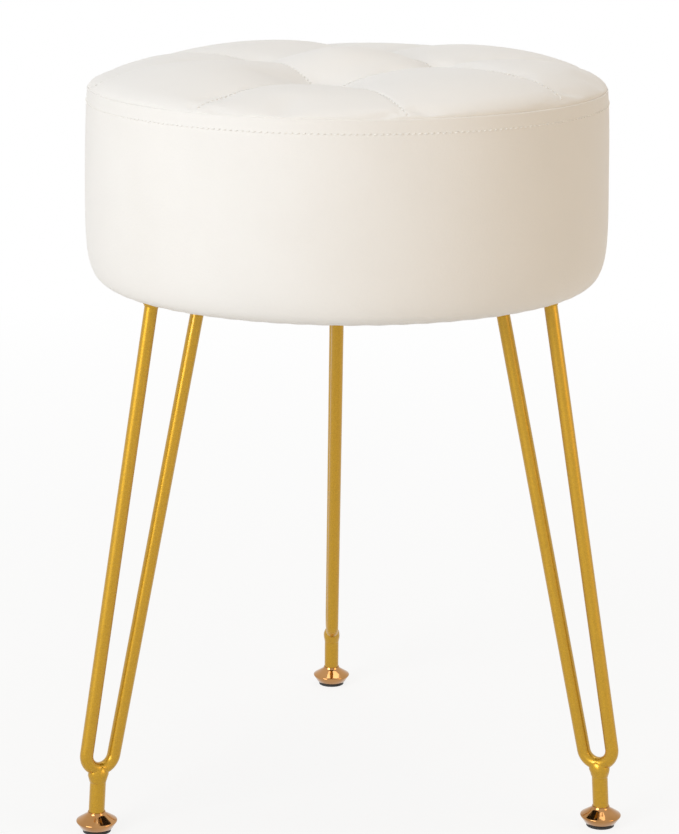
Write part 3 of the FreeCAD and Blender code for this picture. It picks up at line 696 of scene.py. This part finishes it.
foam = lathed("foam_drum", FOAM_OUTLINE, steps=120)
drills = []
for x, y in tuft_places:
    bpy.ops.mesh.primitive_cylinder_add(
        vertices=20, radius=CHANNEL_RADIUS * MM, depth=CHANNEL_LENGTH * MM,
        location=(x * MM, y * MM, CHANNEL_MIDDLE * MM),
    )
    drills.append(bpy.context.object)
only(*drills)
bpy.ops.object.join()
drilled = foam.modifiers.new("channels", "BOOLEAN")
drilled.object = drills[0]
drilled.operation = "DIFFERENCE"
bpy.context.view_layer.objects.active = foam
bpy.ops.object.modifier_apply(modifier="channels")
bpy.data.objects.remove(drills[0])
foam.data.materials.append(
    speckled("open_cell_foam", (0.78, 0.72, 0.52), (0.86, 0.81, 0.62), 900, (0.85, 0.95), 0.0004)
)
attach(foam, "stool")
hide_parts("foam_core")

# Tuft ties: a waxed cord through foam and board at each tuft, with a small loop
# that draws the leatherette down and a knot against the washer underneath.
CORD_RADIUS, CORD_FOOT = 1.25, 322.2
LOOP_RADIUS, LOOP_THICKNESS = 1.6, 0.6
KNOT_RADIUS, KNOT_THICKNESS, KNOT_HEIGHT = 1.8, 0.7, 322.4
parts = []
for x, y in tuft_places:
    cord_top = on_top(x, y)[0].z / MM + 0.2
    bpy.ops.mesh.primitive_cylinder_add(
        vertices=16, radius=CORD_RADIUS * MM, depth=(cord_top - CORD_FOOT) * MM,
        location=(x * MM, y * MM, (cord_top + CORD_FOOT) / 2 * MM),
    )
    parts.append(bpy.context.object)
    loop = (LOOP_RADIUS, LOOP_THICKNESS, cord_top + 0.2)
    knot = (KNOT_RADIUS, KNOT_THICKNESS, KNOT_HEIGHT)
    for radius, thickness, height in (loop, knot):
        bpy.ops.mesh.primitive_torus_add(
            major_radius=radius * MM, minor_radius=thickness * MM,
            major_segments=24, minor_segments=10, location=(x * MM, y * MM, height * MM),
        )
        parts.append(bpy.context.object)
only(*parts)
bpy.ops.object.join()
ties = bpy.context.object
ties.name = "tuft_ties"
bpy.ops.object.transform_apply(location=True, rotation=True, scale=True)
bpy.ops.object.shade_smooth_by_angle(angle=math.radians(40))
ties.data.materials.clear()
ties.data.materials.append(thread)
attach(ties, "stool")
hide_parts("tuft_cords")

# Seat board: a round of birch plywood that carries the foam, the cover and the
# legs. Its edge and its drilled holes show the plies.
plywood, tree, shader = new_material("birch_plywood", Roughness=0.7)
where = node(tree, "ShaderNodeTexCoord", (-1300, 0))
stretch = node(tree, "ShaderNodeMapping", (-1100, 150), Scale=(6, 60, 6))
streaks = node(tree, "ShaderNodeTexNoise", (-900, 150), Scale=5, Detail=5, Roughness=0.6)
plies = node(tree, "ShaderNodeTexWave", (-900, -150), Scale=105, Distortion=0.4)
plies.bands_direction = "Z"
tone = two_tones(tree, (-600, 150), (0.52, 0.34, 0.18), (0.76, 0.58, 0.38))
layers = node(tree, "ShaderNodeMix", (-300, 100))
layers.data_type = "RGBA"
layers.blend_type = "MULTIPLY"
set_sockets(layers, {"Factor": 0.25})
relief = node(tree, "ShaderNodeBump", (-300, -200), Strength=0.3, Distance=0.0002)
wire(
    tree,
    (where, "Object", stretch, "Vector"),
    (stretch, "Vector", streaks, "Vector"),
    (where, "Object", plies, "Vector"),
    (streaks, "Fac", tone, "Fac"),
    (tone, "Color", layers, "A"),
    (plies, "Color", layers, "B"),
    (layers, "Result", shader, "Base Color"),
    (streaks, "Fac", relief, "Height"),
    (relief, "Normal", shader, "Normal"),
)


def finished(names, material):
    """Gives CAD nodes their material."""
    for name in names:
        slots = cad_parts[name].data.materials
        for i in range(len(slots)):
            slots[i] = material
        if not len(slots):
            slots.append(material)


finished(["seat_board"], plywood)

# Small steel parts: staples, washers, tee nuts and bolts with a hexagon socket.
# They are bent, stamped or headed from steel and zinc plated, and hold the covers
# and the legs to the board.
zinc = speckled(
    "zinc_plate", (0.50, 0.50, 0.52), (0.66, 0.66, 0.69), 700, (0.28, 0.42), 0.00003, 1.0
)
finished(
    ["tuft_washers", "cover_staples", "dust_cover_staples", "leg_bolts", "leg_washers", "tee_nuts"],
    zinc,
)

# Dust cover: a round of black spun-bonded cloth stretched over the underside and
# stapled round its edge; it sags a little between the leg plates.
LEG_AZIMUTHS = {"rear": 90, "left": 210, "right": 330}
DUST_RADIUS, DUST_HEIGHT, DUST_THICKNESS, DUST_RINGS = 131.4, 319.78, 0.32, 24
# It lies flat over the middle of each leg plate, and at its stapled edge.
PLATE_MIDDLE, PLATE_REACH, EDGE_REACH = 108, 46, 12
SAG, CREASES = 0.9, 0.8
rings = [(DUST_RADIUS * i / DUST_RINGS, DUST_HEIGHT) for i in range(DUST_RINGS + 1)]
cover = lathed("dust_cover_cloth", rings, steps=144)
plate_middles = [polar(PLATE_MIDDLE, math.radians(a)) for a in LEG_AZIMUTHS.values()]
for v in cover.data.vertices:
    x, y = v.co.x / MM, v.co.y / MM
    free = limited((DUST_RADIUS - math.hypot(x, y)) / EDGE_REACH)
    for u, w in plate_middles:
        free *= 1 - math.exp(-(((x - u) ** 2 + (y - w) ** 2) / PLATE_REACH**2) ** 2)
    broad = noise.noise(Vector((x * 0.02, y * 0.02, 3.0)))
    small = noise.noise(Vector((x * 0.06, y * 0.06, 1.0)))
    v.co.z -= free * (SAG + CREASES * (broad + 0.4 * small)) * MM
bpy.context.view_layer.objects.active = cover
thickness = cover.modifiers.new("thickness", "SOLIDIFY")
thickness.thickness = DUST_THICKNESS * MM
thickness.offset = 0
bpy.ops.object.modifier_apply(modifier="thickness")
bpy.ops.object.shade_smooth_by_angle(angle=math.radians(40))
spun, tree, shader = new_material("spun_bonded_cloth", Roughness=0.85, Sheen_Weight=0.15)
where = node(tree, "ShaderNodeTexCoord", (-1100, 0))
dots = node(tree, "ShaderNodeTexVoronoi", (-900, 100), Scale=650, Randomness=0.1)
fibres = node(tree, "ShaderNodeTexNoise", (-900, -200), Scale=1500, Detail=3)
tone = two_tones(tree, (-500, 200), (0.030, 0.030, 0.033), (0.012, 0.012, 0.013))
pressed = node(tree, "ShaderNodeBump", (-500, -100), Strength=0.7, Distance=0.0002)
fuzz = node(tree, "ShaderNodeBump", (-250, -200), Strength=0.4, Distance=0.0001)
wire(
    tree,
    (where, "Object", dots, "Vector"),
    (where, "Object", fibres, "Vector"),
    (dots, "Distance", tone, "Fac"),
    (tone, "Color", shader, "Base Color"),
    (dots, "Distance", pressed, "Height"),
    (fibres, "Fac", fuzz, "Height"),
    (pressed, "Normal", fuzz, "Normal"),
    (fuzz, "Normal", shader, "Normal"),
)
cover.data.materials.append(spun)
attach(cover, "stool")
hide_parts("dust_cover")

# Legs: bent steel rod, plates, studs and their welds, all under one coat of satin
# gold paint with a fine metal flake in it.
gold, tree, shader = new_material(
    "satin_gold_paint", Metallic=0.75, Coat_Weight=0.4, Coat_Roughness=0.1
)
where = node(tree, "ShaderNodeTexCoord", (-1300, 0))
flake = node(tree, "ShaderNodeTexVoronoi", (-1100, 200), Scale=2600)
flake_grey = node(tree, "ShaderNodeRGBToBW", (-900, 200))
cloud = node(tree, "ShaderNodeTexNoise", (-1100, -100), Scale=45, Detail=3)
peel = node(tree, "ShaderNodeTexNoise", (-1100, -400), Scale=420, Detail=2)
tone = two_tones(tree, (-700, 300), (0.44, 0.240, 0.008), (0.60, 0.340, 0.018))
gloss = node(
    tree, "ShaderNodeMapRange", (-500, 0), From_Min=0.3, From_Max=0.7, To_Min=0.30, To_Max=0.42
)
skin = node(tree, "ShaderNodeBump", (-500, -250), Strength=0.25, Distance=0.00008)
glint = node(tree, "ShaderNodeBump", (-250, -250), Strength=0.12, Distance=0.00002)
wire(
    tree,
    (where, "Object", flake, "Vector"),
    (where, "Object", cloud, "Vector"),
    (where, "Object", peel, "Vector"),
    (flake, "Color", flake_grey, "Color"),
    (flake_grey, "Val", tone, "Fac"),
    (tone, "Color", shader, "Base Color"),
    (cloud, "Fac", gloss, "Value"),
    (gloss, "Result", shader, "Roughness"),
    (peel, "Fac", skin, "Height"),
    (flake_grey, "Val", glint, "Height"),
    (skin, "Normal", glint, "Normal"),
    (glint, "Normal", shader, "Normal"),
)
for stem in ("leg_plate_", "hairpin_rod_", "rod_welds_", "foot_stud_"):
    finished([stem + leg for leg in LEG_AZIMUTHS], gold)

# Weld beads between bend and stud: a smooth, slightly lumpy fillet that widens
# along the bend, ground a little before painting.
STUD_TOP_X, STUD_TOP_Z, STUD_LEAN = 173.26, 37.8, -0.067
BEAD_OUTLINE = (
    (4.7, 30.6), (4.95, 31.0), (5.15, 32.2), (5.5, 33.6), (5.8, 35.2), (5.75, 36.8), (5.35, 38.4),
    (4.7, 39.9), (3.6, 41.0), (1.5, 41.6), (0, 41.7), (0, 30.6), (4.7, 30.6),
)
# Above the stud's top edge the bead widens along the bend and narrows across it.
WIDENS_FROM, WIDENS_OVER, WIDENING, NARROWING, LUMPS = 31, 10, 0.20, 0.10, 0.048


def on_each_leg(piece, name, node_name, body, material):
    """Copies of a piece drawn along +X, one turned to each leg; the first is used up.
    In the names, {} stands for the leg."""
    piece.data.materials.append(material)
    for leg, azimuth in LEG_AZIMUTHS.items():
        copy = piece.copy()
        copy.data = piece.data.copy()
        copy.data.transform(Matrix.Rotation(math.radians(azimuth), 4, "Z"))
        copy.name = name.format(leg)
        bpy.context.collection.objects.link(copy)
        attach(copy, body.format(leg))
        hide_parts(node_name.format(leg))
    bpy.data.objects.remove(piece)


bead = lathed("weld_bead", BEAD_OUTLINE, steps=40, x=STUD_TOP_X)
for v in bead.data.vertices:
    rise = max(0, (v.co.z / MM - WIDENS_FROM) / WIDENS_OVER)
    lump = LUMPS * noise.noise(v.co * 420)
    away = (v.co.x / MM - STUD_TOP_X) * (1 + WIDENING * rise + lump)
    v.co.x = (STUD_TOP_X + away + STUD_LEAN * (v.co.z / MM - STUD_TOP_Z)) * MM
    v.co.y *= 1 - NARROWING * rise + lump
on_each_leg(bead, "stud_bead_{}", "stud_weld_{}", "stool", gold)

# Levelling feet: a zinc screw with a real thread, a polished disc turned from brass
# and pressed on it, and a black rubber pad that the screw's head snaps into.
FOOT_X = 174.96
DISC_OUTLINE = (
    (2.46, 4.2), (8.7, 4.2), (8.7, 2.0), (9.0, 1.9), (9.35, 2.05), (11.7, 5.5), (12.05, 6.0),
    (12.22, 6.35), (12.22, 6.7), (12.05, 7.0), (11.6, 7.35), (9.0, 8.95), (6.6, 10.5), (5.9, 11.0),
    (5.5, 11.5), (5.35, 12.0), (5.2, 12.45), (2.46, 12.45), (2.46, 4.2),
)
SHANK_OUTLINE = (
    (0, 1.0), (3.4, 1.0), (3.7, 1.3), (3.7, 2.1), (3.4, 2.4), (2.2, 2.4), (2.2, 27.0), (0, 27.0),
)
# One turn of the thread: from its root out along a flank to the crest and back.
PITCH, TURNS = 0.8, 30
THREAD_OUTLINE = ((2.05, 2.7), (2.45, 3.02), (2.45, 3.1), (2.05, 3.42), (2.05, 3.5))
THREAD_LOW, THREAD_HIGH = 3.6, 27.2
disc = lathed("foot_disc", DISC_OUTLINE, steps=96, x=FOOT_X)
rose = speckled(
    "polished_rose_brass", (0.40, 0.20, 0.07), (0.50, 0.26, 0.10), 60, (0.06, 0.11), 0.00001, 1.0
)
on_each_leg(disc, "levelling_disc_{}", "glide_disc_{}", "foot_{}", rose)

shank = lathed("screw_shank", SHANK_OUTLINE, steps=32, x=FOOT_X)
threading = drawn_line("threading", THREAD_OUTLINE)
bpy.ops.object.mode_set(mode="OBJECT")
winding = threading.modifiers.new("thread", "SCREW")
winding.steps = winding.render_steps = 24
winding.iterations = TURNS
winding.screw_offset = PITCH * MM
winding.use_merge_vertices = True
winding.merge_threshold = 0.000005
winding.use_smooth_shade = False
bpy.ops.object.modifier_apply(modifier="thread")
bpy.ops.object.mode_set(mode="EDIT")
bpy.ops.mesh.select_all(action="SELECT")
bpy.ops.mesh.remove_doubles(threshold=0.000005)
for height, side in ((THREAD_HIGH, {"clear_outer": True}), (THREAD_LOW, {"clear_inner": True})):
    bpy.ops.mesh.select_all(action="SELECT")
    bpy.ops.mesh.bisect(plane_co=(0, 0, height * MM), plane_no=(0, 0, 1), use_fill=True, **side)
bpy.ops.mesh.select_all(action="SELECT")
bpy.ops.mesh.normals_make_consistent(inside=False)
bpy.ops.object.mode_set(mode="OBJECT")
threading.data.transform(Matrix.Translation((FOOT_X * MM, 0, 0)))
only(shank, threading)
bpy.ops.object.join()
bpy.ops.object.shade_smooth_by_angle(angle=math.radians(30))
on_each_leg(shank, "levelling_screw_{}", "glide_screw_{}", "foot_{}", zinc)

rubber = speckled(
    "black_rubber", (0.012, 0.012, 0.012), (0.028, 0.028, 0.030), 500, (0.55, 0.75), 0.00006
)
finished(["glide_pad_" + leg for leg in LEG_AZIMUTHS], rubber)
